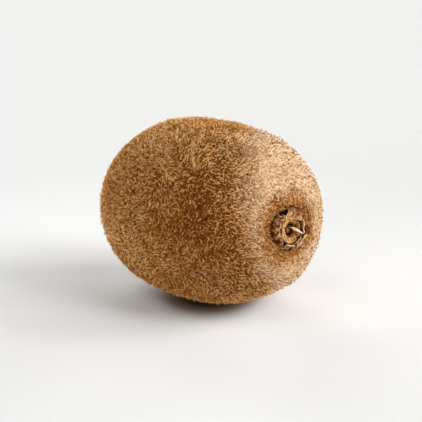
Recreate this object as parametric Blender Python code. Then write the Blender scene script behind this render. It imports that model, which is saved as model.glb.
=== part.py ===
"""A whole kiwi fruit with its dried calyx, at rest on a flat surface.

Units are metres and +Z is up. The fruit's long axis runs along X, with the stalk end at +X raised a
few degrees. The origin is on the resting plane, below the middle of the fruit's bounding box.

Every piece is first modelled about the fruit's own axis, with its middle at the fruit's middle, and
hangs on one empty that tilts the fruit and sets it down on its flat spot.
"""

import math

import bmesh
import bpy
from mathutils import Matrix, Vector

# Driving dimensions of the fruit.
FRUIT_LENGTH = 0.0684
FRUIT_DIAMETER = 0.0520
GIRTH_SHIFT = 0.048          # the widest ring sits this share of the length towards the blossom end
STALK_END_POWER = 2.50       # 2 is an ellipse, more is squarer
BLOSSOM_END_POWER = 2.44
AXIS_TILT = math.radians(3.0)
REST_CUT = 0.0006            # how far the belly is flattened where it rests

# The two ends are pressed in a little: (depth, radius) of each dip.
STALK_DIP = (0.0013, 0.0062)
BLOSSOM_DIP = (0.0009, 0.0050)

# The corky ring that the stalk leaves when it snaps off, and the woody fibre that stays in it.
COLLAR_RADIUS = 0.0023
COLLAR_WALL = 0.0006
COLLAR_HEIGHT = 0.0014
FIBRE_RADIUS = 0.00036
FIBRE_LENGTH = 0.0040

# The dried sepals round the ring. Each has its place in degrees (seen from in front of the stalk end,
# 0 is at the right and 90 on top), the radius its root stands at, its length and width, how far it
# first leans in from upright, and how much further its tip curls in.
SEPAL_THICKNESS = 0.0004
SEPALS = (
    (70, 0.0060, 0.0044, 0.0048, 20, 75),
    (0, 0.0060, 0.0032, 0.0034, 5, 60),
    (-50, 0.0058, 0.0040, 0.0046, 20, 75),
    (-98, 0.0060, 0.0034, 0.0040, 30, 60),
    (-161, 0.0060, 0.0036, 0.0050, 25, 70),
    (149, 0.0062, 0.0036, 0.0036, 30, 70),
)

# The hard button at the blossom end and the withered styles that stand round it.
BUTTON_RADIUS = 0.0011
BUTTON_HEIGHT = 0.0011
STYLE_COUNT = 9
STYLE_RADIUS = 0.00028
STYLE_LENGTH = 0.0027
STYLE_RING = 0.0020

GAP = 0.0003                 # between pieces that touch
AROUND = 64                  # faces round the fruit
ALONG = 46                   # rings from end to end
END_CROWDING = 0.55          # how much closer the rings stand at the two ends


def clear_scene():
    for old in list(bpy.data.objects):
        bpy.data.objects.remove(old, do_unlink=True)


def principled(name, colour, roughness):
    material = bpy.data.materials.new(name)
    material.use_nodes = True
    shader = material.node_tree.nodes["Principled BSDF"]
    shader.inputs["Base Color"].default_value = (*colour, 1.0)
    shader.inputs["Roughness"].default_value = roughness
    shader.inputs["Metallic"].default_value = 0.0
    return material


def add_object(name, data, material, parent):
    piece = bpy.data.objects.new(name, data)
    data.materials.append(material)
    piece.parent = parent
    bpy.context.collection.objects.link(piece)
    return piece


def mesh_from(bm, name):
    mesh = bpy.data.meshes.new(name)
    bm.to_mesh(mesh)
    bm.free()
    mesh.shade_smooth()
    return mesh


def dip(radius, size):
    depth, reach = size
    return depth * math.exp(-(radius / reach) ** 2)


def outline_point(angle):
    """A point (x, radius) of the fruit's outline: angle 0 is the stalk pole, pi the blossom pole."""
    at_stalk_end = angle < math.pi / 2
    power = STALK_END_POWER if at_stalk_end else BLOSSOM_END_POWER
    widest = -GIRTH_SHIFT * FRUIT_LENGTH
    reach = FRUIT_LENGTH / 2 - widest if at_stalk_end else FRUIT_LENGTH / 2 + widest
    along = abs(math.cos(angle)) ** (2 / power)
    radius = FRUIT_DIAMETER / 2 * max(math.sin(angle), 0.0) ** (2 / power)
    if at_stalk_end:
        return widest + reach * along - dip(radius, STALK_DIP), radius
    return widest - reach * along + dip(radius, BLOSSOM_DIP), radius


def outline():
    """The outline's points from pole to pole, spaced evenly along it but closer at both ends."""
    fine = [outline_point(math.pi * step / 2000) for step in range(2001)]
    run = [0.0]
    for before, after in zip(fine, fine[1:]):
        run.append(run[-1] + math.dist(before, after))
    points = []
    here = 0
    for ring in range(ALONG + 1):
        share = ring / ALONG
        share -= END_CROWDING * math.sin(2 * math.pi * share) / (2 * math.pi)
        while here < 2000 and run[here + 1] < share * run[-1]:
            here += 1
        points.append(fine[here])
    points[-1] = fine[-1]
    return points


def end_height(radius, stalk_end):
    """How far along X the skin lies at this distance from the axis, near one end."""
    half = FRUIT_DIAMETER / 2
    power = STALK_END_POWER if stalk_end else BLOSSOM_END_POWER
    sine = (radius / half) ** (power / 2)
    angle = math.asin(sine)
    return outline_point(angle if stalk_end else math.pi - angle)[0]


def make_fruit(parent, material):
    """The flesh and skin as one solid: the outline turned about X and flattened where it rests."""
    bm = bmesh.new()
    chain = [bm.verts.new((x, 0.0, radius)) for x, radius in outline()]
    edges = [bm.edges.new(pair) for pair in zip(chain, chain[1:])]
    bmesh.ops.spin(bm, geom=chain + edges, axis=(1, 0, 0), cent=(0, 0, 0), angle=2 * math.pi,
                   steps=AROUND, use_merge=True)
    bmesh.ops.remove_doubles(bm, verts=bm.verts, dist=1e-6)
    bmesh.ops.recalc_face_normals(bm, faces=bm.faces)

    down = Vector((-math.sin(AXIS_TILT), 0.0, -math.cos(AXIS_TILT)))
    lowest = max(vert.co.dot(down) for vert in bm.verts)
    rest = lowest - REST_CUT
    cut = bmesh.ops.bisect_plane(bm, geom=bm.verts[:] + bm.edges[:] + bm.faces[:], dist=1e-7,
                                 plane_co=down * rest, plane_no=down, clear_outer=True)
    rim = [part for part in cut["geom_cut"] if isinstance(part, bmesh.types.BMEdge)]
    bmesh.ops.edgeloop_fill(bm, edges=rim)
    bmesh.ops.recalc_face_normals(bm, faces=bm.faces)
    mesh = mesh_from(bm, "fruit")
    mesh.set_sharp_from_angle(angle=math.radians(40))
    return add_object("fruit", mesh, material, parent), rest


def make_collar(parent, material):
    """The corky ring left by the stalk: a rounded wall turned about X, open in the middle."""
    bm = bmesh.new()
    bmesh.ops.create_circle(bm, cap_ends=False, segments=8, radius=1.0)
    stretch = Matrix.Diagonal((COLLAR_WALL, COLLAR_HEIGHT / 2, 1.0, 1.0))
    bmesh.ops.transform(bm, matrix=stretch, verts=bm.verts)
    # The circle's own X becomes the distance from the axis (Z), and its Y becomes height (X).
    onto_end = Matrix(((0, 1, 0, 0), (0, 0, 1, 0), (1, 0, 0, 0), (0, 0, 0, 1)))
    bmesh.ops.transform(bm, matrix=onto_end, verts=bm.verts)
    height = end_height(COLLAR_RADIUS + COLLAR_WALL, True) + GAP + COLLAR_HEIGHT / 2
    bmesh.ops.translate(bm, vec=(height, 0.0, COLLAR_RADIUS), verts=bm.verts)
    bmesh.ops.spin(bm, geom=bm.verts[:] + bm.edges[:], axis=(1, 0, 0), cent=(0, 0, 0),
                   angle=2 * math.pi, steps=28, use_merge=True)
    bmesh.ops.remove_doubles(bm, verts=bm.verts, dist=1e-6)
    bmesh.ops.recalc_face_normals(bm, faces=bm.faces)
    return add_object("stalk_collar", mesh_from(bm, "stalk_collar"), material, parent)


def make_rod(name, points, radii, parent, material):
    """A thin round piece along a few points, with its own radius at each of them."""
    curve = bpy.data.curves.new(name, "CURVE")
    curve.dimensions = "3D"
    curve.bevel_depth = 1.0
    curve.bevel_resolution = 1
    curve.use_fill_caps = True
    spline = curve.splines.new("POLY")
    spline.points.add(len(points) - 1)
    for place, point, radius in zip(spline.points, points, radii):
        place.co = (*point, 1.0)
        place.radius = radius
    return add_object(name, curve, material, parent)


def make_fibre(parent, material):
    """The pale woody strand in the ring: it leans outwards, down and to the side, to a point."""
    root = end_height(0.0, True) + GAP + FIBRE_RADIUS
    lean = Vector((0.84, 0.28, -0.46)).normalized()
    points = []
    radii = []
    for step in range(6):
        share = step / 5
        points.append(Vector((root, 0.0, 0.0004)) + lean * FIBRE_LENGTH * share
                      + Vector((0.0005, 0.0, -0.0002)) * math.sin(math.pi * share))
        radii.append(FIBRE_RADIUS * (1.0 - 0.75 * share))
    return make_rod("stalk_fibre", points, radii, parent, material)


def make_sepal(number, shape, parent, material):
    """A dried sepal: a tongue that stands on the fruit round the ring and curls in over it."""
    place, root, length, width, lean, curl = shape
    lean = math.radians(lean)
    curl = math.radians(curl)
    bm = bmesh.new()
    bmesh.ops.create_grid(bm, x_segments=6, y_segments=6, size=1.0)
    foot = end_height(root, True) + GAP + SEPAL_THICKNESS
    for vert in bm.verts:
        across = vert.co.x
        along = (vert.co.y + 1) / 2
        half_width = width / 2 * (1.0 - 0.75 * along ** 2.2)
        turned = lean + curl * along
        height = length / curl * (math.sin(turned) - math.sin(lean))
        inward = length / curl * (math.cos(lean) - math.cos(turned))
        cup = 0.12 * width * across ** 2
        radius = root - inward - cup * math.cos(turned)
        rise = foot + height - cup * math.sin(turned) * (1 - along)
        # Across its width the tongue follows the round of the ring it stands on.
        swing = across * half_width / max(radius, 0.003)
        vert.co = (rise, radius * math.sin(swing), radius * math.cos(swing))
    bmesh.ops.recalc_face_normals(bm, faces=bm.faces)
    turn = Matrix.Rotation(math.radians(place - 90), 4, "X")
    bmesh.ops.transform(bm, matrix=turn, verts=bm.verts)
    piece = add_object(f"sepal_{number}", mesh_from(bm, f"sepal_{number}"), material, parent)
    wall = piece.modifiers.new("thickness", "SOLIDIFY")
    wall.thickness = SEPAL_THICKNESS
    wall.offset = 0.0
    return piece


def make_button(parent, material):
    """The hard button at the blossom end: a low dome on a short round foot."""
    bm = bmesh.new()
    bmesh.ops.create_uvsphere(bm, u_segments=16, v_segments=8, radius=BUTTON_RADIUS)
    bmesh.ops.rotate(bm, cent=(0, 0, 0), matrix=Matrix.Rotation(math.pi / 2, 3, "Y"), verts=bm.verts)
    squash = Matrix.Diagonal((BUTTON_HEIGHT / (2 * BUTTON_RADIUS), 1.0, 1.0, 1.0))
    bmesh.ops.transform(bm, matrix=squash, verts=bm.verts)
    skin = end_height(0.0, False)
    bmesh.ops.translate(bm, vec=(skin - GAP - BUTTON_HEIGHT / 2, 0.0, 0.0), verts=bm.verts)
    return add_object("blossom_button", mesh_from(bm, "blossom_button"), material, parent)


def make_style(number, parent, material):
    """A withered style: a thin rod that stands beside the button and bends outwards."""
    turn = 2 * math.pi * (number - 1) / STYLE_COUNT + 0.25 * math.sin(3.0 * number)
    outward = Vector((0.0, math.cos(turn), math.sin(turn)))
    sideways = Vector((0.0, -math.sin(turn), math.cos(turn)))
    length = STYLE_LENGTH * (0.85 + 0.15 * math.cos(2.2 * number))
    skin = end_height(STYLE_RING, False)
    points = []
    radii = []
    for step in range(5):
        share = step / 4
        away = STYLE_RING + 0.45 * length * share ** 2
        swerve = 0.12 * length * math.sin(1.7 * number) * share ** 2
        height = skin - GAP - STYLE_RADIUS - 0.75 * length * share
        points.append(outward * away + sideways * swerve + Vector((height, 0.0, 0.0)))
        radii.append(STYLE_RADIUS * (1.0 - 0.35 * share))
    return make_rod(f"style_{number}", points, radii, parent, material)


def centre_on_origin(empty):
    """Slides the whole fruit so that its bounding box is centred over the origin."""
    bpy.context.view_layer.update()
    graph = bpy.context.evaluated_depsgraph_get()
    lows = [math.inf] * 2
    highs = [-math.inf] * 2
    for piece in empty.children:
        solid = piece.evaluated_get(graph)
        for vert in solid.to_mesh().vertices:
            place = piece.matrix_world @ vert.co
            for axis in range(2):
                lows[axis] = min(lows[axis], place[axis])
                highs[axis] = max(highs[axis], place[axis])
        solid.to_mesh_clear()
    for axis in range(2):
        empty.location[axis] -= (lows[axis] + highs[axis]) / 2


clear_scene()

skin = principled("fuzzy brown skin", (0.36, 0.21, 0.10), 0.85)
cork = principled("corky stalk scar", (0.50, 0.36, 0.16), 0.80)
straw = principled("pale woody fibre", (0.66, 0.50, 0.34), 0.70)
dry_leaf = principled("dried sepal", (0.42, 0.28, 0.16), 0.75)
dark_husk = principled("withered style", (0.07, 0.05, 0.035), 0.80)

axis_empty = bpy.data.objects.new("fruit_axis", None)
bpy.context.collection.objects.link(axis_empty)

fruit, rest_depth = make_fruit(axis_empty, skin)
make_collar(axis_empty, cork)
make_fibre(axis_empty, straw)
for count, sepal in enumerate(SEPALS, start=1):
    make_sepal(count, sepal, axis_empty, dry_leaf)
make_button(axis_empty, dark_husk)
for count in range(1, STYLE_COUNT + 1):
    make_style(count, axis_empty, dark_husk)

axis_empty.rotation_euler = (0.0, -AXIS_TILT, 0.0)
axis_empty.location = (0.0, 0.0, rest_depth)
centre_on_origin(axis_empty)
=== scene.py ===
import math

import bmesh
import bpy
import numpy as np
from mathutils import Matrix, Vector, noise


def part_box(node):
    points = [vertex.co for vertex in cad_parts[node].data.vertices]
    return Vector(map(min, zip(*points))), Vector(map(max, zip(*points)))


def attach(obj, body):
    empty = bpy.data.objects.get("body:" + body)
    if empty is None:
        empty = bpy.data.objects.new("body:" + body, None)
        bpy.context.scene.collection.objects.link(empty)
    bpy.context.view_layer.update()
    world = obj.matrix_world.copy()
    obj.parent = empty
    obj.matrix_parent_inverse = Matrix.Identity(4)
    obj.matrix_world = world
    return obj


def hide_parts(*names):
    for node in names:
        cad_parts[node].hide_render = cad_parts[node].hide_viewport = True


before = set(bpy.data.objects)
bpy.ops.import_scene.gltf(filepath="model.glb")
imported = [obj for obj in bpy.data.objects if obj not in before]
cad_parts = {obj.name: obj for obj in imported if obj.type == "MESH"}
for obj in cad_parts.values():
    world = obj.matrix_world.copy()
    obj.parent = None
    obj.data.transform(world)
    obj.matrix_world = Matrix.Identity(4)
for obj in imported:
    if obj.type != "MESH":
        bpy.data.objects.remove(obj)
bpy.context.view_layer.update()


# ---------------------------------------------------------------------------------------------------
# Skin. The thin brown peel of the fruit, grown in one piece with the flesh. It is tough and dull,
# pressed in at both ends and a little uneven. The fruit lies on its fuzz, so the peel itself stays
# half a millimetre clear of what it lies on.

FRUIT_LENGTH = 0.0684
FRUIT_DIAMETER = 0.0520
GIRTH_SHIFT = 0.048          # share of the length by which the widest ring sits towards the blossom end
STALK_END_POWER = 2.50       # 2 is an ellipse, more is squarer
BLOSSOM_END_POWER = 2.44
AXIS_TILT = math.radians(3.0)
STALK_DIP = (0.0013, 0.0062)     # depth and radius
BLOSSOM_DIP = (0.0009, 0.0050)
FUZZ_DEPTH = 0.00095         # the skin lies this far inside the outline that its fuzz fills out,
RUBBED_DEPTH = 0.00010       # and this far where the fuzz is rubbed short
EXPOSED = (1.0, 0.85, 0.22)  # the stalk end's shoulder, most of all on its +Y side, is worn and faded, with a painted highlight
RUBBED_FROM = 0.0235         # along that way: the fuzz thins from here
RUBBED_TO = 0.0310
PALE_FROM = 0.0150          # and the colour is paler from here: faded, with a painted highlight
PALE_TO = 0.0310
STALK_TUFT = 0.0093          # reach of the thick reddish fuzz round the stalk end, from the axis,
BLOSSOM_TUFT = 0.0060        # and round the blossom end
TUFT_SHIFT = Vector((0.0, -0.0004, 0.0006))      # its middle lies this far to the other side
POCKET = (0.0049, 0.0062)    # the painted shade of the pit under the dead sepals ends between these distances
POCKET_SIDE = 0.0003         # and sits this far to the -Y side
# Blotches: each one's place from the fruit's middle, its reach, and how far it shifts the tone.
BLOTCHES = (
    ((0.0225, -0.0183, 0.0040), 0.0085, -0.22),
    ((0.0225, -0.0150, -0.0130), 0.0095, 0.15),
    ((0.0300, -0.0095, 0.0050), 0.0060, 0.12),
    ((-0.0100, -0.0200, 0.0080), 0.0090, 0.06),
    ((0.0320, -0.0085, -0.0010), 0.0040, 0.20),
    ((0.0320, 0.0070, 0.0000), 0.0035, -0.10),
    ((0.0205, -0.0184, 0.0095), 0.0048, -0.20),
    ((0.0165, -0.0062, 0.0225), 0.0060, 0.12),
    ((0.0298, -0.0068, -0.0090), 0.0050, 0.14),
    ((0.0240, -0.0060, -0.0180), 0.0055, 0.10),
)


def outline_point(angle):
    """A point (x, radius) of the fruit's outline: angle 0 is the stalk pole, pi the blossom pole."""
    at_stalk_end = angle < math.pi / 2
    power = STALK_END_POWER if at_stalk_end else BLOSSOM_END_POWER
    widest = -GIRTH_SHIFT * FRUIT_LENGTH
    reach = FRUIT_LENGTH / 2 - widest if at_stalk_end else FRUIT_LENGTH / 2 + widest
    along = abs(math.cos(angle)) ** (2 / power)
    radius = FRUIT_DIAMETER / 2 * max(math.sin(angle), 0.0) ** (2 / power)
    depth, spread = STALK_DIP if at_stalk_end else BLOSSOM_DIP
    dip = depth * math.exp(-(radius / spread) ** 2)
    if at_stalk_end:
        return widest + reach * along - dip, radius
    return widest - reach * along + dip, radius


def outline(rings, crowding=0.5):
    """The outline's points from pole to pole, spaced along its length but closer at both ends."""
    fine = [outline_point(math.pi * step / 4000) for step in range(4001)]
    run = [0.0]
    for before, after in zip(fine, fine[1:]):
        run.append(run[-1] + math.dist(before, after))
    points = []
    here = 0
    for ring in range(rings + 1):
        share = ring / rings
        share -= crowding * math.sin(2 * math.pi * share) / (2 * math.pi)
        while here < 4000 and run[here + 1] < share * run[-1]:
            here += 1
        points.append(fine[here])
    points[-1] = fine[-1]
    return points


def linear(code):
    """A colour written as sRGB hex, as the linear values that a shader takes."""
    parts = [int(code[place:place + 2], 16) / 255 for place in (1, 3, 5)]
    parts = [part / 12.92 if part <= 0.04045 else ((part + 0.055) / 1.055) ** 2.4 for part in parts]
    return (*parts, 1.0)


def add_node(material, kind, settings=None, values=None, links=None, stops=()):
    """Adds one node: settings, values of its sockets, links from others' sockets, and colour stops."""
    node = material.node_tree.nodes.new(kind)
    for name, setting in (settings or {}).items():
        setattr(node, name, setting)
    for socket, value in (values or {}).items():
        node.inputs[socket].default_value = value
    for socket, source in (links or {}).items():
        material.node_tree.links.new(source, node.inputs[socket])
    for spare in range(len(stops) - 2):
        node.color_ramp.elements.new(0.5)
    for number, (place, code) in enumerate(stops):
        node.color_ramp.elements[number].position = place
        node.color_ramp.elements[number].color = linear(code)
    return node


def new_material(name, roughness, gloss, ior=1.45):
    """A material with its roughness, its share of a normal surface's gloss, and its IOR."""
    material = bpy.data.materials.new(name)
    material.use_nodes = True
    shader = material.node_tree.nodes["Principled BSDF"]
    shader.inputs["Roughness"].default_value = roughness
    shader.inputs["Specular IOR Level"].default_value = gloss / 2
    shader.inputs["IOR"].default_value = ior
    return material, shader


def finished(bm, name, material):
    """Turns a bmesh into a smooth piece that rides on the fruit."""
    mesh = bpy.data.meshes.new(name)
    bm.to_mesh(mesh)
    bm.free()
    mesh.shade_smooth()
    mesh.materials.append(material)
    piece = bpy.data.objects.new(name, mesh)
    bpy.context.collection.objects.link(piece)
    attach(piece, "root")
    return piece


bm = bmesh.new()
chain = [bm.verts.new((x, 0.0, radius)) for x, radius in outline(rings=104)]
edges = [bm.edges.new(pair) for pair in zip(chain, chain[1:])]
bmesh.ops.spin(bm, geom=chain + edges, axis=(1, 0, 0), cent=(0, 0, 0), angle=2 * math.pi,
               steps=144, use_merge=True)
bmesh.ops.remove_doubles(bm, verts=bm.verts, dist=1e-6)
bmesh.ops.recalc_face_normals(bm, faces=bm.faces)

# The fruit is tilted about Y, then set so that its box meets the box of the solid it stands for.
bmesh.ops.rotate(bm, cent=(0, 0, 0), matrix=Matrix.Rotation(-AXIS_TILT, 3, "Y"), verts=bm.verts)
fruit_low, fruit_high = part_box("fruit")
xs = [vert.co.x for vert in bm.verts]
top = max(vert.co.z for vert in bm.verts)
seat = Vector(((fruit_low.x + fruit_high.x - min(xs) - max(xs)) / 2, 0.0, fruit_high.z - top))
bmesh.ops.translate(bm, vec=seat, verts=bm.verts)
PLACE = Matrix.Translation(seat) @ Matrix.Rotation(-AXIS_TILT, 4, "Y")

MIDDLE = PLACE @ Vector((0, 0, 0))
AXIS = Vector((math.cos(AXIS_TILT), 0.0, math.sin(AXIS_TILT)))


def smooth(low, high, value):
    """0 below the low value, 1 above the high one, and a smooth rise between."""
    share = min(max((value - low) / (high - low), 0.0), 1.0)
    return share * share * (3 - 2 * share)


def tuft(place):
    """1 in the ring of thick reddish fuzz round the dead sepals and the blossom end, 0 away from it."""
    offset = place - MIDDLE
    forward = offset.dot(AXIS)
    around = STALK_TUFT if forward > 0 else BLOSSOM_TUFT
    around += 0.0016 * noise.noise(place * 260.0)
    aside = (offset + TUFT_SHIFT - forward * AXIS).length
    return 1 - smooth(around - 0.0024, around + 0.0020, aside)


def pit_shade(place):
    """1 where shade is painted on the floor of the pit under the dead sepals, 0 outside them."""
    offset = place - MIDDLE
    forward = offset.dot(AXIS)
    offset.y += POCKET_SIDE
    aside = (offset - forward * AXIS).length
    return 1 - smooth(*POCKET, aside) if forward > 0 else 0.0


def exposure(place):
    """How far a place lies along the worn, faded and painted-highlight way from the fruit's middle."""
    offset = place - MIDDLE
    along, aside, above = EXPOSED
    return along * offset.dot(AXIS) + aside * offset.y + above * offset.z


def blotched(place):
    """How far the blotches shift the tone of the fuzz at a place."""
    shift = 0.0
    for middle, reach, change in BLOTCHES:
        away = (place - MIDDLE - Vector(middle)).length
        shift += change * math.exp(-(away / reach) ** 2)
    return shift


def wear(place):
    """How far the fuzz is rubbed off at a place: 1 on the shoulder round the stalk end."""
    patches = noise.noise(place * 60.0)
    shoulder = smooth(RUBBED_FROM, RUBBED_TO, exposure(place) + 0.003 * patches) * (1 - tuft(place))
    return min(max(shoulder + 0.30 * patches * (1 - shoulder), 0.0), 1.0)


def fade_and_highlight(place):
    """How pale the skin and fuzz are at a place: 1 on the shoulder that took the sun, paler still with
    a painted highlight.
    """
    reach = exposure(place) + 0.003 * noise.noise(place * 150.0)
    return smooth(PALE_FROM, PALE_TO, reach) * (1 - tuft(place))


bm.normal_update()
pale = bm.verts.layers.float.new("fade_and_highlight")
reddish = bm.verts.layers.float.new("tuft")
pit_shade_layer = bm.verts.layers.float.new("pit_shade")
for vert in bm.verts:
    vert[reddish] = tuft(vert.co)
    vert[pit_shade_layer] = pit_shade(vert.co)
    # The pale share: rubbed wear, and fading with a painted highlight on the shoulder.
    vert[pale] = (0.25 * wear(vert.co) + 0.75 * fade_and_highlight(vert.co)) ** 1.3
    swell = noise.noise(vert.co * 70.0) * 0.00030 + noise.noise(vert.co * 190.0) * 0.00010
    inset = FUZZ_DEPTH + (RUBBED_DEPTH - FUZZ_DEPTH) * wear(vert.co)
    vert.co += vert.normal * (swell - inset)
lowest = min(bm.verts, key=lambda vert: vert.co.z).co.copy()

# Kiwi peel, dead corky cells that never shine: painted dark brown where the fuzz shades it, pale straw
# where the sun bleached it and a painted highlight lies on it, reddish under the thick fuzz, and
# painted almost black as shade in the pit under the sepals. Its blotches are about 1.4 mm across. Its
# pores are finer than 0.1 mm, and are drawn at 0.45 mm so that they show.
peel, shader = new_material("kiwi peel", roughness=0.6, gloss=0.0)
coords = add_node(peel, "ShaderNodeTexCoord").outputs["Object"]
blotch = add_node(peel, "ShaderNodeTexNoise", values={"Scale": 700.0, "Detail": 4.0},
                  links={"Vector": coords}).outputs["Fac"]
covered = add_node(peel, "ShaderNodeValToRGB", links={"Fac": blotch},
                   stops=((0.3, "#401A04"), (0.7, "#68360A")))
bare = add_node(peel, "ShaderNodeValToRGB", links={"Fac": blotch},
                stops=((0.3, "#9C7A54"), (0.7, "#CAAC88")))
pale_share = add_node(peel, "ShaderNodeAttribute", settings={"attribute_name": "fade_and_highlight"})
# The Mix node has sockets of one name for each kind of value: 6 and 7 are its colours, 2 the result.
tint = add_node(peel, "ShaderNodeMix", settings={"data_type": "RGBA"},
                links={"Factor": pale_share.outputs["Fac"], 6: covered.outputs["Color"],
                       7: bare.outputs["Color"]})
shaded = add_node(peel, "ShaderNodeAttribute", settings={"attribute_name": "tuft"})
stained = add_node(peel, "ShaderNodeMix", settings={"data_type": "RGBA"},
                   values={7: linear("#8A4C28")},
                   links={"Factor": shaded.outputs["Fac"], 6: tint.outputs[2]})
# Painted shade: the pit under the sepals is painted almost black.
pit_shade_share = add_node(peel, "ShaderNodeAttribute", settings={"attribute_name": "pit_shade"})
pit_shaded = add_node(peel, "ShaderNodeMix", settings={"data_type": "RGBA"},
                 values={7: linear("#1E0A05")},
                 links={"Factor": pit_shade_share.outputs["Fac"], 6: stained.outputs[2]})
peel.node_tree.links.new(pit_shaded.outputs[2], shader.inputs["Base Color"])
pores = add_node(peel, "ShaderNodeTexNoise", values={"Scale": 2200.0, "Detail": 3.0},
                 links={"Vector": coords})
bump = add_node(peel, "ShaderNodeBump", values={"Strength": 0.5, "Distance": 0.0002},
                links={"Height": pores.outputs["Fac"]})
peel.node_tree.links.new(bump.outputs["Normal"], shader.inputs["Normal"])

skin = finished(bm, "skin", peel)
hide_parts("fruit")


# ---------------------------------------------------------------------------------------------------
# Bristles. The fuzz of short stiff hairs, each a dead tapered cell that grows out of the peel and
# lies over. They swirl and tangle, so each is turned its own way and the longer ones are bent. There
# are too many to model one by one, so their points are worked out together.

# Each coat: name, pieces, bristles in a piece, straight parts in a bristle, length, width, least and
# most lean in degrees, and tone from 0, russet, by 0.5, golden, to 1, cream. The widths are about
# three times the real ones, which would be too fine to show.
COATS = (
    ("long_bristles", 2, 14000, 2, 0.0018, 0.00022, 35, 65, 0.54),
    ("short_bristles", 2, 19500, 2, 0.0011, 0.00018, 30, 60, 0.36),
    ("down", 2, 30000, 1, 0.0008, 0.00017, 20, 60, 0.33),
)
DARK_SHARE = 0.27            # of the bristles are dark russet, wherever they grow
STANDING_SHARE = 0.14        # of them stand nearly upright and fray the outline
ROOT_DEPTH = 0.0002          # how deep a bristle's foot is sunk in the peel
REST_HEIGHT = 0.0002         # where the fruit rests, no bristle is pressed lower than this
BALD_REACH = 0.0047          # none grow this near to the axis at the stalk end, under the sepals
SWEPT = (0.010, 0.022)       # this far from the fruit's middle they start to lie towards the stalk
DARKER_BELOW = (0.009, 0.015)       # below these heights their tone is darker and redder, but not at the stalk end
TUFT_CROWDING = 1.2          # so many more bristles to the area in the thick ring round each end
THICKET_SCALE = 52.0         # the fuzz is longer and more golden in patches about 20 mm across
THICKET_SEED = Vector((780.7, 232.1, -485.3))

# Dry bristle, dead and dull: each is dark at its root, where the others shade it, and pale and almost
# see-through at its tip. Along the UV map's U the colour runs from root to tip, and V is the tone.
hair, shader = new_material("dry bristle", roughness=0.5, gloss=0.0, ior=1.5)
strand = add_node(hair, "ShaderNodeUVMap", settings={"uv_map": "OFBake"})
split = add_node(hair, "ShaderNodeSeparateXYZ", links={"Vector": strand.outputs["UV"]})
root_to_tip = split.outputs["X"]
tone = split.outputs["Y"]
russet = add_node(hair, "ShaderNodeValToRGB", links={"Fac": root_to_tip},
                  stops=((0.0, "#1C0700"), (0.35, "#542204"), (1.0, "#884216")))
golden = add_node(hair, "ShaderNodeValToRGB", links={"Fac": root_to_tip},
                  stops=((0.0, "#582C0A"), (0.35, "#CC8A38"), (1.0, "#FED08A")))
# Cream is the pale shoulder's tone: partly its faded colour, partly a painted highlight.
cream = add_node(hair, "ShaderNodeValToRGB", links={"Fac": root_to_tip},
                 stops=((0.0, "#90683E"), (0.35, "#EBD0AD"), (1.0, "#FCF3E4")))
low_half = add_node(hair, "ShaderNodeMapRange", values={"From Min": 0.0, "From Max": 0.5},
                    links={"Value": tone})
high_half = add_node(hair, "ShaderNodeMapRange", values={"From Min": 0.5, "From Max": 1.0},
                     links={"Value": tone})
warm = add_node(hair, "ShaderNodeMix", settings={"data_type": "RGBA"},
                links={"Factor": low_half.outputs["Result"], 6: russet.outputs["Color"],
                       7: golden.outputs["Color"]})
blend = add_node(hair, "ShaderNodeMix", settings={"data_type": "RGBA"},
                 links={"Factor": high_half.outputs["Result"], 6: warm.outputs[2],
                        7: cream.outputs["Color"]})
hair.node_tree.links.new(blend.outputs[2], shader.inputs["Base Color"])

skin.data.calc_loop_triangles()
corners = np.sort([triangle.vertices[:] for triangle in skin.data.loop_triangles], axis=1)
# A bmesh may list its faces in another order each time, so the triangles are put in a fixed one.
corners = corners[np.lexsort(corners.T)]
points = np.array([vert.co[:] for vert in skin.data.vertices])
normals = np.array([vert.normal[:] for vert in skin.data.vertices])
edge_a = points[corners[:, 1]] - points[corners[:, 0]]
edge_b = points[corners[:, 2]] - points[corners[:, 0]]
density = np.linalg.norm(np.cross(edge_a, edge_b), axis=1)
density *= [1 + TUFT_CROWDING * tuft(Vector(place)) for place in points[corners].mean(1)]
middle = np.array(MIDDLE)
axis = np.array(AXIS)


def unit(vectors):
    """Each vector at length 1."""
    return vectors / np.maximum(np.linalg.norm(vectors, axis=-1, keepdims=True), 1e-12)


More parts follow.
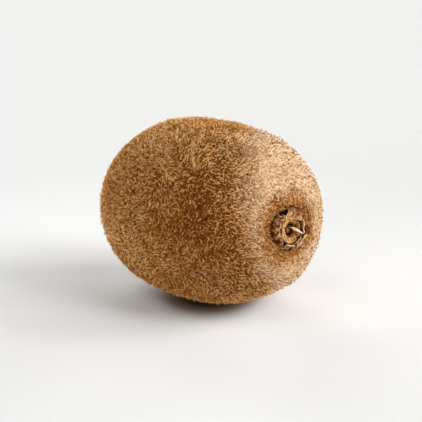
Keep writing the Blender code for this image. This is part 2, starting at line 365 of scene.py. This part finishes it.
def grow(name, count, parts, length, width, lean_low, lean_high, tone, rng):
    """Grows three-sided bristles on the skin, each in a few straight parts from a root to a point."""
    spread = (np.arange(count) + rng.random(count)) / count
    pick = np.searchsorted(np.cumsum(density) / density.sum(), spread)
    share = rng.random((count, 2))
    over = share.sum(1) > 1
    share[over] = 1 - share[over]
    weight = np.stack([1 - share.sum(1), share[:, 0], share[:, 1]], 1)[:, :, None]
    root = (points[corners[pick]] * weight).sum(1)
    out = unit((normals[corners[pick]] * weight).sum(1))
    offset = root - middle
    forward = offset @ axis
    aside = np.linalg.norm(offset - forward[:, None] * axis + [0.0, POCKET_SIDE, 0.0], axis=1)
    keep = (forward < 0) | (aside > BALD_REACH)
    root, out, forward = root[keep], out[keep], forward[keep]
    count = len(root)
    worn = np.array([wear(Vector(place)) for place in root])
    faded_and_highlit = np.array([fade_and_highlight(Vector(place)) for place in root])
    tufted = np.array([tuft(Vector(place)) for place in root])
    shift = np.array([blotched(Vector(place)) for place in root])
    thick = np.array([noise.noise(Vector(place) * THICKET_SCALE + THICKET_SEED) for place in root])
    thick = np.array([smooth(-0.15, 0.40, share) for share in thick]) * (1 - worn)

    # On the shoulder they lie towards the stalk; elsewhere they swirl.
    inward = unit(forward[:, None] * axis + middle - root)
    swept = np.array([smooth(*SWEPT, place) for place in forward])[:, None] * (1 - tufted[:, None])
    swirl = np.array([noise.noise_vector(Vector(place) * 160.0) for place in root])
    swirl = swirl + swept * inward
    combed = unit(swirl - (swirl * out).sum(1, keepdims=True) * out)
    turn = rng.normal(0.0, 1.1, count)[:, None] * (1 - 0.5 * swept)
    combed = combed * np.cos(turn) + np.cross(out, combed) * np.sin(turn)
    across = np.cross(out, combed)

    dark = rng.random(count) < DARK_SHARE
    long = (length * rng.uniform(0.6, 1.25, count) * (0.70 + 0.30 * thick - 0.15 * worn))[:, None]
    wide = (width * rng.uniform(0.75, 1.25, count) * (0.88 + 0.12 * thick + 0.4 * worn * dark))[:, None]
    lean = rng.uniform(lean_low, lean_high, count) + 14 * worn
    lean = np.radians(np.where(rng.random(count) < STANDING_SHARE, 0.4 * lean, lean))[:, None]
    droop = lean + np.radians(rng.uniform(10, 50, count))[:, None]
    curl = rng.normal(0.0, 0.5, count)[:, None]
    steps = [root - out * ROOT_DEPTH]
    for part in range(parts):
        bend = lean + (droop - lean) * part / max(parts - 1, 1)
        heading = unit(out * np.cos(bend) + combed * np.sin(bend) + across * curl * part)
        step = (root if part == 0 else steps[-1]) + heading * long / parts
        step[:, 2] = np.maximum(step[:, 2], REST_HEIGHT)
        steps.append(step)

    rings = []
    for place in range(parts):
        girth = wide * (1 - 0.6 * (place / parts) ** 1.5)
        along = unit(steps[place + 1] - steps[place])
        side = unit(np.cross(along, out + 0.01))
        up = np.cross(side, along)
        for corner in range(3):
            angle = 2 * math.pi * corner / 3
            rings.append(steps[place] + (side * math.cos(angle) + up * math.sin(angle)) * girth / 2)
    tip = 3 * parts
    verts = np.stack(rings + [steps[parts]], 1).reshape(-1, 3)
    shape = []
    for ring in range(0, tip - 3, 3):
        for corner in range(3):
            after = (corner + 1) % 3
            shape.append((ring + corner, ring + after, ring + after + 3, ring + corner + 3))
    shape += [(tip - 3, tip - 2, tip), (tip - 2, tip - 1, tip), (tip - 1, tip - 3, tip), (2, 1, 0)]
    sizes = [len(face) for face in shape]
    flat = np.array([place for face in shape for place in face])
    loops = (flat[None, :] + (tip + 1) * np.arange(count)[:, None]).reshape(-1)

    mesh = bpy.data.meshes.new(name)
    mesh.vertices.add(len(verts))
    mesh.vertices.foreach_set("co", verts.astype(np.float32).reshape(-1))
    mesh.loops.add(len(loops))
    mesh.loops.foreach_set("vertex_index", loops.astype(np.int32))
    mesh.polygons.add(count * len(shape))
    starts = np.concatenate([[0], np.cumsum(np.tile(sizes, count))[:-1]])
    mesh.polygons.foreach_set("loop_start", starts.astype(np.int32))
    tone = tone + rng.normal(0.0, 1.0, count) * (0.19 + 0.06 * thick)
    # Low on the fruit the tone is darker and redder, except at the stalk end.
    low = np.array([1 - smooth(*DARKER_BELOW, height) for height in root[:, 2]])
    low *= np.array([1 - smooth(*SWEPT, place) for place in forward])
    # The shoulder's pale tone is partly fading and partly a painted highlight.
    tone += 0.04 * thick + 0.10 * worn + 0.56 * faded_and_highlit - 0.14 * tufted - 0.22 * low + shift
    tone = np.where(dark, rng.uniform(0.02, 0.14, count), tone)
    tone = np.clip(tone, 0.02, 0.62 + 0.30 * faded_and_highlit)
    strand_u = np.array([0.02 + 0.96 * (place // 3) / parts for place in range(tip + 1)])[flat]
    strand_v = np.array([-1, 0, 1] * parts + [0])[flat] * 0.004
    layer = mesh.uv_layers.new(name="OFBake")
    uv = np.stack([np.tile(strand_u, count), (tone[:, None] + strand_v[None, :]).reshape(-1)], 1)
    layer.data.foreach_set("uv", uv.astype(np.float32).reshape(-1))
    mesh.update()
    mesh.validate()
    mesh.shade_smooth()
    mesh.materials.append(hair)
    piece = bpy.data.objects.new(name, mesh)
    bpy.context.collection.objects.link(piece)
    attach(piece, "root")


# Vector noise starts from the clock unless it is seeded, and the swirls are made with it.
noise.seed_set(21)
rng = np.random.default_rng(11)
for coat, pieces, *measures in COATS:
    for number in range(1, pieces + 1):
        grow(f"{coat}_{number}", *measures, rng)


# ---------------------------------------------------------------------------------------------------
# Stalk scar. The corky ring that the stalk leaves when it snaps off, pale ochre where it is dry on
# top, with the olive pith sunk in its middle and painted darker there as shade in the hollow. Its far
# side is torn thin. It grew on the fruit.

SCAR_PROFILE = (
    (0.0000, 0.0008), (0.0005, 0.0008), (0.0009, 0.0005), (0.0011, 0.0001), (0.0013, 0.0002),
    (0.0014, 0.0008), (0.0017, 0.0012), (0.0022, 0.0014), (0.0027, 0.0014), (0.0030, 0.0011),
    (0.0031, 0.0006), (0.0031, 0.0001), (0.0000, 0.0001),
)                            # distance from the axis, and height above the dip's floor
SCAR_STRETCH = 1.14          # the ring is this much taller than wide
SCAR_DROP = 0.0005           # and its middle lies this far below the fruit's axis
TORN_SIDE = math.radians(10)     # where the ring is thinnest, from the right as the end is faced


def end_height(radius):
    """How far along the axis the skin's outline lies at a distance from it, at the stalk end."""
    sine = (radius / (FRUIT_DIAMETER / 2)) ** (STALK_END_POWER / 2)
    return outline_point(math.asin(sine))[0]


bm = bmesh.new()
floor_height = end_height(0.0)
chain = [bm.verts.new((floor_height + height, 0.0, radius)) for radius, height in SCAR_PROFILE]
edges = [bm.edges.new(pair) for pair in zip(chain, chain[1:])]
bmesh.ops.subdivide_edges(bm, edges=edges, cuts=1)
bmesh.ops.spin(bm, geom=bm.verts[:] + bm.edges[:], axis=(1, 0, 0), cent=(0, 0, 0),
               angle=2 * math.pi, steps=72, use_merge=True)
bmesh.ops.remove_doubles(bm, verts=bm.verts, dist=1e-6)
bmesh.ops.recalc_face_normals(bm, faces=bm.faces)
# crest is 1 on the ring's top and 0 where it is sunk, which is painted dark: partly pith, partly shade.
crest = bm.verts.layers.float.new("crest")
for vert in bm.verts:
    radius = math.hypot(vert.co.y, vert.co.z)
    height = vert.co.x - floor_height
    dome = 0.35 * (1 - smooth(0.0004, 0.0011, radius))
    vert[crest] = smooth(0.0005, 0.0013, height) * smooth(0.0011, 0.0017, radius) + dome
    if radius < 1e-5:
        continue
    turn = math.atan2(vert.co.z, vert.co.y)
    torn = (0.5 + 0.5 * math.cos(turn - TORN_SIDE)) ** 1.5
    # On the torn side the inner wall slopes out to a thin crest.
    wall = smooth(0.0010, 0.0017, radius) * (1 - smooth(0.0026, 0.0031, radius)) * vert[crest]
    out = 0.0004 * torn * wall + 0.00036 * noise.noise(vert.co * 600.0)
    vert[crest] *= 1 - 0.75 * torn
    stretch = (radius + out) / radius
    vert.co.y *= stretch
    vert.co.z *= stretch
    rough = noise.noise(vert.co * 700.0) * 0.00030 + noise.noise(vert.co * 2000.0) * 0.00016
    vert.co.x += rough * smooth(0.0001, 0.0006, height) + 0.0005 * torn * wall
    vert.co.z = vert.co.z * SCAR_STRETCH - SCAR_DROP
bmesh.ops.transform(bm, matrix=PLACE, verts=bm.verts)

# Dry stalk cork, torn and weathered: chalky and crumbly, pale ochre with brown cracks where it stands
# up, and dark where it is sunk, partly with the rotted pith and partly with painted shade. Its grains
# and cracks are about 0.5 mm across.
cork, shader = new_material("dry stalk cork", roughness=0.8, gloss=0.0)
coords = add_node(cork, "ShaderNodeTexCoord").outputs["Object"]
grain = add_node(cork, "ShaderNodeTexNoise", values={"Scale": 1800.0, "Detail": 4.0},
                 links={"Vector": coords})
pith_and_shade = add_node(cork, "ShaderNodeValToRGB", links={"Fac": grain.outputs["Fac"]},
                stops=((0.35, "#120300"), (0.65, "#502608")))
rim = add_node(cork, "ShaderNodeValToRGB", links={"Fac": grain.outputs["Fac"]},
               stops=((0.34, "#5A3012"), (0.50, "#B98348"), (0.66, "#E0B478")))
height = add_node(cork, "ShaderNodeAttribute", settings={"attribute_name": "crest"})
tint = add_node(cork, "ShaderNodeMix", settings={"data_type": "RGBA"},
                links={"Factor": height.outputs["Fac"], 6: pith_and_shade.outputs["Color"],
                       7: rim.outputs["Color"]})
cork.node_tree.links.new(tint.outputs[2], shader.inputs["Base Color"])
bump = add_node(cork, "ShaderNodeBump", values={"Strength": 0.6, "Distance": 0.0001},
                links={"Height": grain.outputs["Fac"]})
cork.node_tree.links.new(bump.outputs["Normal"], shader.inputs["Normal"])

scar = finished(bm, "stalk_scar", cork)
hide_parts("stalk_collar")


# ---------------------------------------------------------------------------------------------------
# Stalk fibre. One woody strand of the stalk, which stayed in the scar when the rest snapped off. It
# is bone pale and bluntly broken, and leans out over the corky ring.

FIBRE_ROOT = Vector((0.0004, 0.0006, 0.0002))
FIBRE_TIP = Vector((0.0037, 0.0021, -0.0013))
FIBRE_ARCH = Vector((0.0004, 0.0, 0.0002))
FIBRE_RADII = (0.00020, 0.00036, 0.00052, 0.00048, 0.00036, 0.00026, 0.00010)


def add_strand(bm, root, tip, arch, radii):
    """Adds a thin uneven rod from root to tip: its middle is off the straight line by the arch."""
    bmesh.ops.create_cone(bm, cap_ends=True, segments=10, radius1=1.0, radius2=1.0, depth=1.0)
    sides = [edge for edge in bm.edges if abs(edge.verts[0].co.z - edge.verts[1].co.z) > 0.5]
    bmesh.ops.subdivide_edges(bm, edges=sides, cuts=len(radii) - 2, use_grid_fill=True)
    turn = (tip - root).to_track_quat("Z", "Y").to_matrix()
    for vert in bm.verts:
        share = vert.co.z + 0.5
        radius = radii[round(share * (len(radii) - 1))]
        radius *= 1 + 0.35 * noise.noise(vert.co * 3.0 + root * 900.0)
        across = turn @ Vector((vert.co.x * radius, vert.co.y * radius * 0.7, 0.0))
        vert.co = root.lerp(tip, share) + across + arch * math.sin(math.pi * share)
    bmesh.ops.recalc_face_normals(bm, faces=bm.faces)


bm = bmesh.new()
scar_floor = Vector((floor_height, 0.0, 0.0))
add_strand(bm, scar_floor + FIBRE_ROOT, scar_floor + FIBRE_TIP, FIBRE_ARCH, FIBRE_RADII)
bmesh.ops.transform(bm, matrix=PLACE, verts=bm.verts)

# Bleached stalk fibre, stripped and dried: pale as bone with a faint sheen, and stained brown in
# spots about 0.4 mm across.
straw, shader = new_material("bleached stalk fibre", roughness=0.6, gloss=1.0)
coords = add_node(straw, "ShaderNodeTexCoord").outputs["Object"]
grain = add_node(straw, "ShaderNodeTexNoise", values={"Scale": 2500.0, "Detail": 3.0},
                 links={"Vector": coords})
tint = add_node(straw, "ShaderNodeValToRGB", links={"Fac": grain.outputs["Fac"]},
                stops=((0.35, "#A87C5C"), (0.60, "#F0D2B4")))
straw.node_tree.links.new(tint.outputs["Color"], shader.inputs["Base Color"])
fibre = finished(bm, "woody_fibre", straw)
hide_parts("stalk_fibre")


# ---------------------------------------------------------------------------------------------------
# Dried sepals. The six leaves of the flower that stayed on the fruit and died: paper thin, shrunk
# and brown, rooted in the fuzz round the scar and curled in over it, with paler edges that roll up.

SEPAL_THICKNESS = 0.00024    # paper thin is about 0.1 mm, which would be too fine to show its edge
BLADE_ROWS = 14
# Each sepal's blades (a torn one has two): place round the scar in degrees (0 is +Y, 90 is up), how
# far the lip slides sideways, radius of the root, length, width at the root and at the lip, lean
# from upright, curl, how late the curl comes, how far the edges roll up, crumple, and tone from dark
# to pale, which is partly the sepal's own colour and partly painted shade on sepals turned from the
# light.
SEPALS = (
    ((70, -14, 0.0058, 0.0037, 0.0030, 0.0066, 15, 105, 1.0, 0.0006, 0.9, 0.45),),
    ((-2, 0, 0.0044, 0.0018, 0.0034, 0.0038, 0, 25, 2.0, 0.0003, 0.4, 0.45),
     (-14, 0, 0.0049, 0.0026, 0.0024, 0.0022, -45, -40, 1.0, 0.0011, 0.5, 0.12)),
    ((-50, 0, 0.0054, 0.0028, 0.0046, 0.0050, -8, 130, 3.0, 0.0001, 0.3, 0.40),
     (-52, 0, 0.0045, 0.0014, 0.0030, 0.0028, -5, 20, 2.0, 0.0000, 0.3, 0.30)),
    ((-98, 8, 0.0058, 0.0029, 0.0042, 0.0042, 10, 70, 1.5, 0.0003, 0.5, 0.30),),
    ((-164, 0, 0.0054, 0.0030, 0.0050, 0.0048, 15, 65, 1.8, 0.0003, 0.4, 0.16),
     (170, -6, 0.0057, 0.0027, 0.0046, 0.0050, 0, 50, 1.5, 0.0002, 0.5, 0.16)),
    ((146, 0, 0.0057, 0.0024, 0.0034, 0.0026, 20, 70, 1.2, 0.0005, 0.7, 0.22),
     (127, 0, 0.0042, 0.0018, 0.0012, 0.0016, 0, 50, 1.2, 0.0003, 0.4, 0.95)),
)

# Dried sepal, a dead leaf: matt and brown, nearly black in its folds and, as painted shade, at its foot
# and on sepals turned from the light, tan where it is bleached, and palest along its worn edges. Its
# veins run from root to lip, about 0.3 mm apart.
leaf, shader = new_material("dried sepal", roughness=0.6, gloss=0.0)
lengthwise = add_node(leaf, "ShaderNodeUVMap", settings={"uv_map": "UVMap"})
stretch = add_node(leaf, "ShaderNodeMapping", values={"Scale": (14.0, 2.0, 1.0)},
                   links={"Vector": lengthwise.outputs["UV"]})
vein = add_node(leaf, "ShaderNodeTexNoise", values={"Scale": 1.0, "Detail": 3.0},
                links={"Vector": stretch.outputs["Vector"]})
deep = add_node(leaf, "ShaderNodeValToRGB", links={"Fac": vein.outputs["Fac"]},
                stops=((0.30, "#0E0200"), (0.70, "#52200A")))
light = add_node(leaf, "ShaderNodeValToRGB", links={"Fac": vein.outputs["Fac"]},
                 stops=((0.30, "#A06636"), (0.66, "#DCB07A")))
tone = add_node(leaf, "ShaderNodeAttribute", settings={"attribute_name": "tone"})
body = add_node(leaf, "ShaderNodeMix", settings={"data_type": "RGBA"},
                links={"Factor": tone.outputs["Fac"], 6: deep.outputs["Color"],
                       7: light.outputs["Color"]})
margin = add_node(leaf, "ShaderNodeAttribute", settings={"attribute_name": "margin"})
edged = add_node(leaf, "ShaderNodeMix", settings={"data_type": "RGBA"},
                 values={7: linear("#F0C4A2")},
                 links={"Factor": margin.outputs["Fac"], 6: body.outputs[2]})
leaf.node_tree.links.new(edged.outputs[2], shader.inputs["Base Color"])
bump = add_node(leaf, "ShaderNodeBump", values={"Strength": 0.5, "Distance": 0.00012},
                links={"Height": vein.outputs["Fac"]})
leaf.node_tree.links.new(bump.outputs["Normal"], shader.inputs["Normal"])


def add_blade(bm, number, shape):
    """Adds one sheet of sepal: a grid with its foot in the fuzz, bent over towards the scar."""
    place, slide, root, length, root_width, lip_width, lean, curl, late, roll, crumple, tone_and_painted_shade = shape
    uv = bm.loops.layers.uv["UVMap"]
    tone = bm.verts.layers.float["tone"]
    margin = bm.verts.layers.float["margin"]
    grid = bmesh.ops.create_grid(bm, x_segments=16, y_segments=BLADE_ROWS, size=1.0)["verts"]
    # The blade's middle line, from the root up and over: distance in from the root, and height.
    line = [(0.0, 0.0, math.radians(lean))]
    for row in range(1, BLADE_ROWS + 1):
        inward, height, heading = line[-1]
        heading = math.radians(lean + curl * (row / BLADE_ROWS) ** late)
        line.append((inward + math.sin(heading) * length / BLADE_ROWS,
                     height + math.cos(heading) * length / BLADE_ROWS, heading))
    foot = end_height(root)
    turn = PLACE @ Matrix.Rotation(math.radians(place - 90), 4, "X")
    for vert in grid:
        across = vert.co.x
        along = (vert.co.y + 1) / 2
        for corner in vert.link_loops:
            corner[uv].uv = (across / 2 + 0.5 + place / 10, along)
        inward, height, heading = line[round(along * BLADE_ROWS)]
        seed = Vector((across * 1.3, along * 1.7, place / 20))
        ragged = 1 + 0.40 * noise.noise(Vector((along * 5.0, place / 30, across > 0)))
        width = (root_width + (lip_width - root_width) * smooth(0.0, 0.8, along)) * ragged
        width *= 1 - 0.35 * smooth(0.75, 1.0, along) * abs(across)
        edge = smooth(0.45, 1.0, abs(across))
        fold = 0.00022 * math.cos(across * 7.0 + number) + 0.0009 * noise.noise(seed * 1.4)
        lift = roll * edge * edge * (0.4 + 0.6 * along) + crumple * fold * (0.3 + 0.7 * along)
        reach = root - inward + math.cos(heading) * lift
        rise = foot + height + math.sin(heading) * lift
        swing = across * width / 2 / max(reach, 0.0035) + math.radians(slide) * along ** 1.5
        ripple = 0.0009 * crumple * noise.noise(seed * 3.5 + Vector((9.0, 0.0, 0.0))) * along
        rim = max(0.4 * smooth(0.82, 1.0, abs(across)) * along, smooth(0.90, 1.0, along))
        vert[margin] = rim * min(0.85 + 0.5 * noise.noise(seed * 4.0), 1.0) * (0.75 + 0.25 * tone_and_painted_shade)
        patchy = min(max(tone_and_painted_shade + 0.9 * noise.noise(seed * 2.5), 0.0), 1.0)
        # Painted shade: each blade darkens towards its foot, down in the fuzz.
        vert[tone] = patchy * smooth(0.0, 0.8, along)
        vert.co = turn @ Vector((rise + ripple, reach * math.sin(swing), reach * math.cos(swing)))


for number, blades in enumerate(SEPALS, start=1):
    bm = bmesh.new()
    bm.loops.layers.uv.new("UVMap")
    bm.verts.layers.float.new("tone")
    bm.verts.layers.float.new("margin")
    for blade in blades:
        add_blade(bm, number, blade)
    bmesh.ops.recalc_face_normals(bm, faces=bm.faces)
    piece = finished(bm, f"dried_sepal_{number}", leaf)
    wall = piece.modifiers.new("thickness", "SOLIDIFY")
    wall.thickness = SEPAL_THICKNESS
    wall.offset = 0.0
    rounding = piece.modifiers.new("rounding", "SUBSURF")
    rounding.levels = 1
    rounding.render_levels = 1
    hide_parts(f"sepal_{number}")


# ---------------------------------------------------------------------------------------------------
# Blossom end. What is left of the flower at the far end: a small hard button where its petals sat,
# and the nine dead styles, thin and tough as husk, that stand round it in the fuzz.

BUTTON_RADIUS = 0.0011
BUTTON_REACH = 0.0013        # half its length: its foot is sunk in the skin
STYLES = 9
STYLE_RING = 0.0018
STYLE_DEPTH = 0.0012         # how deep a style's foot is sunk in the skin
STYLE_LENGTH = 0.0034
STYLE_RADII = (0.00020, 0.00022, 0.00020, 0.00017, 0.00013, 0.00012, 0.00016, 0.00006)

# Dry husk, shrivelled: hard and wrinkled, dark brown with worn tan spots about 0.6 mm across.
husk, shader = new_material("dry husk", roughness=0.7, gloss=1.0)
coords = add_node(husk, "ShaderNodeTexCoord").outputs["Object"]
grain = add_node(husk, "ShaderNodeTexNoise", values={"Scale": 1600.0, "Detail": 4.0},
                 links={"Vector": coords})
tint = add_node(husk, "ShaderNodeValToRGB", links={"Fac": grain.outputs["Fac"]},
                stops=((0.32, "#1E0A04"), (0.50, "#6A3A18"), (0.66, "#B88450")))
husk.node_tree.links.new(tint.outputs["Color"], shader.inputs["Base Color"])
bump = add_node(husk, "ShaderNodeBump", values={"Strength": 0.6, "Distance": 0.0001},
                links={"Height": grain.outputs["Fac"]})
husk.node_tree.links.new(bump.outputs["Normal"], shader.inputs["Normal"])

pole = outline_point(math.pi)[0]
bm = bmesh.new()
bmesh.ops.create_icosphere(bm, subdivisions=4, radius=1.0)
for vert in bm.verts:
    wrinkle = 1 + 0.25 * noise.noise(vert.co * 2.0) + 0.12 * noise.noise(vert.co * 6.0)
    vert.co *= wrinkle
bmesh.ops.scale(bm, vec=(BUTTON_REACH, BUTTON_RADIUS, BUTTON_RADIUS), verts=bm.verts)
bmesh.ops.translate(bm, vec=(pole, 0.0, 0.0), verts=bm.verts)
bmesh.ops.transform(bm, matrix=PLACE, verts=bm.verts)
button = finished(bm, "flower_button", husk)
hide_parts("blossom_button")

for number in range(1, STYLES + 1):
    turn = 2 * math.pi * (number - 1) / STYLES + 0.25 * math.sin(3.0 * number)
    length = STYLE_LENGTH * (0.85 + 0.15 * math.cos(2.2 * number))
    outward = Vector((0.0, math.cos(turn), math.sin(turn)))
    sideways = Vector((0.0, -math.sin(turn), math.cos(turn)))
    root = Vector((pole + STYLE_DEPTH, 0.0, 0.0)) + outward * STYLE_RING
    tip = root + outward * 0.55 * length + sideways * 0.30 * length * math.sin(1.7 * number)
    tip.x -= length
    bm = bmesh.new()
    add_strand(bm, root, tip, outward * -0.15 * length, STYLE_RADII)
    bmesh.ops.transform(bm, matrix=PLACE, verts=bm.verts)
    style = finished(bm, f"dead_style_{number}", husk)
    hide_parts(f"style_{number}")


# ---------------------------------------------------------------------------------------------------
# Stage. A pale seamless paper floor under soft studio light, which is strongest low down on the right
# and behind. The camera looks at the stalk end from the front right, a little above the fruit.

VIEW_AZIMUTH = math.radians(52.7)
VIEW_ELEVATION = math.radians(14.0)
CAMERA_DISTANCE = 0.263
LENS = 79.3
FLOOR_RADIUS = 12.0
PAINTED_SHADOW_SHIFT = 0.0070         # the darkest of the painted shadow lies this far on from where the fruit rests

back = Vector((math.sin(VIEW_AZIMUTH) * math.cos(VIEW_ELEVATION),
               -math.cos(VIEW_AZIMUTH) * math.cos(VIEW_ELEVATION), math.sin(VIEW_ELEVATION)))
right = Vector((math.cos(VIEW_AZIMUTH), math.sin(VIEW_AZIMUTH), 0.0))
up = back.cross(right)
target = MIDDLE + right * 0.00062 - up * 0.00034
camera = bpy.data.objects.new("camera", bpy.data.cameras.new("camera"))
bpy.context.collection.objects.link(camera)
camera.data.lens = LENS
camera.data.clip_start = 0.01
camera.matrix_world = (Matrix.Translation(target + back * CAMERA_DISTANCE)
                       @ Matrix((right, up, back)).transposed().to_4x4())
bpy.context.scene.camera = camera

bm = bmesh.new()
bmesh.ops.create_circle(bm, cap_ends=True, segments=64, radius=FLOOR_RADIUS)
mesh = bpy.data.meshes.new("floor")
bm.to_mesh(mesh)
bm.free()
floor = bpy.data.objects.new("floor", mesh)
bpy.context.collection.objects.link(floor)
# White paper, uncoated: matt and almost white. It has a painted shadow, dark right under the belly
# where the fuzz keeps the light out, and it is a shade greyer further off.
paper, shader = new_material("white paper", roughness=0.9, gloss=0.0)
coords = add_node(paper, "ShaderNodeTexCoord").outputs["Object"]
far = add_node(paper, "ShaderNodeVectorMath", settings={"operation": "DISTANCE"},
               values={1: (lowest.x + PAINTED_SHADOW_SHIFT, 0.0, 0.0)}, links={0: coords})
painted_shadow_and_grey = add_node(paper, "ShaderNodeValToRGB", links={"Fac": far.outputs["Value"]},
                stops=((0.006, "#22140C"), (0.011, "#806E60"), (0.017, "#DADADA"),
                       (0.190, "#CCCCCC")))
paper.node_tree.links.new(painted_shadow_and_grey.outputs["Color"], shader.inputs["Base Color"])
mesh.materials.append(paper)

world = bpy.data.worlds.new("studio")
world.use_nodes = True
sky = world.node_tree.nodes["Background"]
sky.inputs["Color"].default_value = linear("#FFFFFF")
sky.inputs["Strength"].default_value = 0.02
bpy.context.scene.world = world
bpy.context.scene.view_settings.view_transform = "Standard"

# Each light: name, turn from the camera's right (90 is away from it), height, strength, width and
# colour, with its turn, height and width in degrees. The low ones in front are a little warm.
LIGHTS = (
    ("right strip", 30, 8, 2.33, 26, "#FFFFFF"),
    ("right back strip", 60, 8, 2.60, 28, "#FFFFFF"),
    ("left back strip", 120, 8, 0.90, 28, "#FFFFFF"),
    ("left front strip", -120, 8, 1.75, 28, "#FFFBEE"),
    ("front low fill", -90, 8, 1.52, 28, "#FFFBEE"),
    ("right fill", 0, 32, 1.50, 24, "#FFFFFF"),
    ("back fill", 105, 32, 0.85, 32, "#FFFFFF"),
    ("left fill", 160, 32, 0.50, 32, "#FFFFFF"),
    ("left front fill", -150, 32, 0.13, 30, "#FFFFFF"),
    ("front right fill", -30, 32, 1.73, 24, "#FFFFFF"),
    ("left front top", -135, 56, 0.44, 26, "#FFFFFF"),
    ("key", -45, 56, 0.44, 22, "#FFFFFF"),
)
near = Vector((back.x, back.y, 0)).normalized()
for name, turn, height, strength, width, colour in LIGHTS:
    turn = math.radians(turn)
    height = math.radians(height)
    toward = (right * math.cos(turn) - near * math.sin(turn)) * math.cos(height)
    toward.z = math.sin(height)
    lamp = bpy.data.lights.new(name, "SUN")
    lamp.energy = strength
    lamp.angle = math.radians(width)
    lamp.color = linear(colour)[:3]
    sun = bpy.data.objects.new(name, lamp)
    sun.rotation_euler = toward.to_track_quat("Z", "Y").to_euler()
    bpy.context.collection.objects.link(sun)

bpy.context.view_layer.update()
